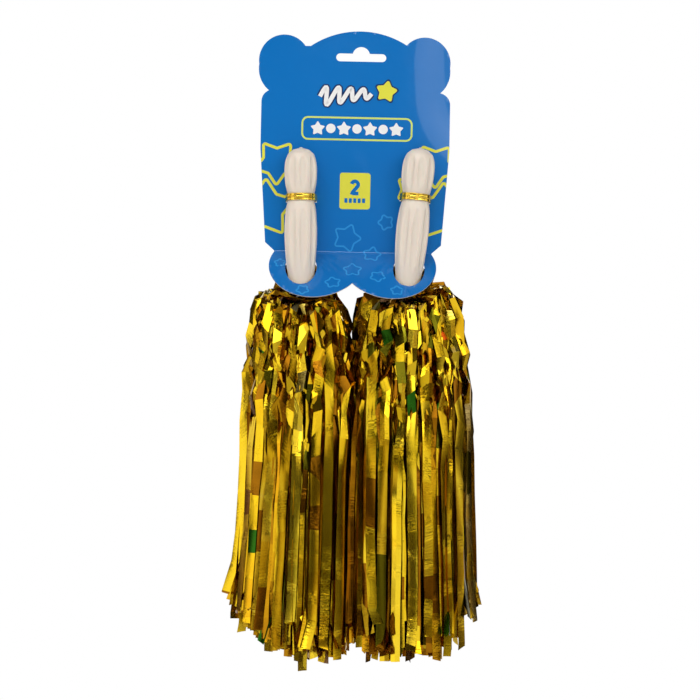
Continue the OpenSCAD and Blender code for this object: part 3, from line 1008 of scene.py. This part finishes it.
LAMPS = {
    "front": {"at": (0, -1.55, -0.52), "size": (1.0, 0.6), "radiance": 1.45},
    "key": {"at": (-0.35, -1.1, 1.1), "size": (1.1, 0.8), "radiance": 3.4},
    "left": {"at": (-1.5, -0.7, -0.2), "size": (0.5, 1.6), "radiance": 1.7},
    "right": {"at": (0.95, -1.35, 0.35), "size": (0.2, 0.9), "radiance": 5.5},
    "sheen": {"at": (0.5, -1.4, 0.3), "size": (0.4, 1.0), "radiance": 1.7},
    "back": {"at": (0.4, 1.7, 0.6), "size": (1.4, 1.2), "radiance": 3.0},
}


def studio():
    """A dark room with soft panels and pale patches, which show in the film and the laminate. Where the
    camera stands it stays dark, and the camera itself sees plain white behind the object."""
    world = bpy.data.worlds.new("studio")
    bpy.context.scene.world = world
    world.use_nodes = True
    tree = world.node_tree
    new, link = tree.nodes.new, tree.links.new
    seen, room = tree.nodes["Background"], new("ShaderNodeBackground")
    seen.inputs["Color"].default_value = (1, 1, 1, 1)
    coords, noise, ramp = new("ShaderNodeTexCoord"), new("ShaderNodeTexNoise"), new("ShaderNodeValToRGB")
    noise.inputs["Scale"].default_value = 1.9
    noise.inputs["Detail"].default_value = 1.5
    stops = ramp.color_ramp.elements
    middle = stops.new(0.53)
    middle.color = (0.4, 0.27, 0.15, 1)
    stops[0].position, stops[0].color = 0.485, (0.015, 0.010, 0.006, 1)
    stops[-1].position, stops[-1].color = 0.57, (1, 0.99, 0.97, 1)
    towards, dark, shade = new("ShaderNodeVectorMath"), new("ShaderNodeMapRange"), new("ShaderNodeMixRGB")
    towards.operation = "DOT_PRODUCT"
    towards.inputs[1].default_value = Vector((0, -1, 0.07)).normalized()
    dark.inputs["From Min"].default_value = 0.90
    dark.inputs["From Max"].default_value = 0.97
    shade.inputs["Color2"].default_value = (0.012, 0.012, 0.012, 1)
    room.inputs["Strength"].default_value = 1.45
    path, mix = new("ShaderNodeLightPath"), new("ShaderNodeMixShader")
    away, backdrop, join = new("ShaderNodeSeparateXYZ"), new("ShaderNodeMapRange"), new("ShaderNodeMixRGB")
    backdrop.inputs["From Min"].default_value = 0.62
    backdrop.inputs["From Max"].default_value = 0.84
    join.inputs["Color2"].default_value = (0.62, 0.61, 0.6, 1)
    link(coords.outputs["Generated"], away.inputs[0])
    link(away.outputs["Y"], backdrop.inputs["Value"])
    link(backdrop.outputs["Result"], join.inputs["Fac"])
    link(shade.outputs["Color"], join.inputs["Color1"])
    link(coords.outputs["Generated"], noise.inputs["Vector"])
    link(coords.outputs["Generated"], towards.inputs[0])
    link(towards.outputs["Value"], dark.inputs["Value"])
    link(noise.outputs["Fac"], ramp.inputs["Fac"])
    link(ramp.outputs["Color"], shade.inputs["Color1"])
    link(dark.outputs["Result"], shade.inputs["Fac"])
    link(join.outputs["Color"], room.inputs["Color"])
    link(path.outputs["Is Camera Ray"], mix.inputs[0])
    link(room.outputs[0], mix.inputs[1])
    link(seen.outputs[0], mix.inputs[2])
    link(mix.outputs[0], tree.nodes["World Output"].inputs["Surface"])
    for name, facts in LAMPS.items():
        lamp = bpy.data.lights.new(name, "AREA")
        lamp.shape = "RECTANGLE"
        lamp.size, lamp.size_y = facts["size"]
        lamp.energy = facts["radiance"] * math.pi * lamp.size * lamp.size_y
        obj = bpy.data.objects.new(name, lamp)
        obj.location = facts["at"]
        obj.rotation_euler = (Vector(LAMP_AIM) - obj.location).to_track_quat("-Z", "Y").to_euler()
        obj.visible_camera = False
        bpy.context.scene.collection.objects.link(obj)
    bpy.context.scene.view_settings.view_transform = "Standard"


def floor():
    """A plain pale disc under the hanging pack."""
    mesh = bpy.data.meshes.new("floor")
    around = 64
    turns = np.arange(around) * 2 * math.pi / around
    ring = [(FLOOR_R * math.cos(a), FLOOR_R * math.sin(a), FLOOR_Z) for a in turns]
    mesh.from_pydata(ring, [], [tuple(range(around))])
    n = Nodes("pale_floor")
    n.surface(Base_Color=(0.86, 0.86, 0.85, 1), Roughness=0.8)
    finish_mesh("floor", mesh, [n.material])


camera()
studio()
floor()
card()
print_card()
for hand in SIDES:
    handle(hand)
    tie(hand)
    for node, stuff in (("_end_plug", PLUG_PLASTIC), ("_pull_wire", WIRE_STEEL)):
        frame["nodes"][hand + node].data.materials.clear()
        frame["nodes"][hand + node].data.materials.append(stuff)
for layer_name, layer_facts in LAYERS.items():
    layer_film = film("film_" + layer_name, layer_facts["painted_inner_shade"])
    for hand in SIDES:
        skirt_layer(hand, layer_name, layer_film)
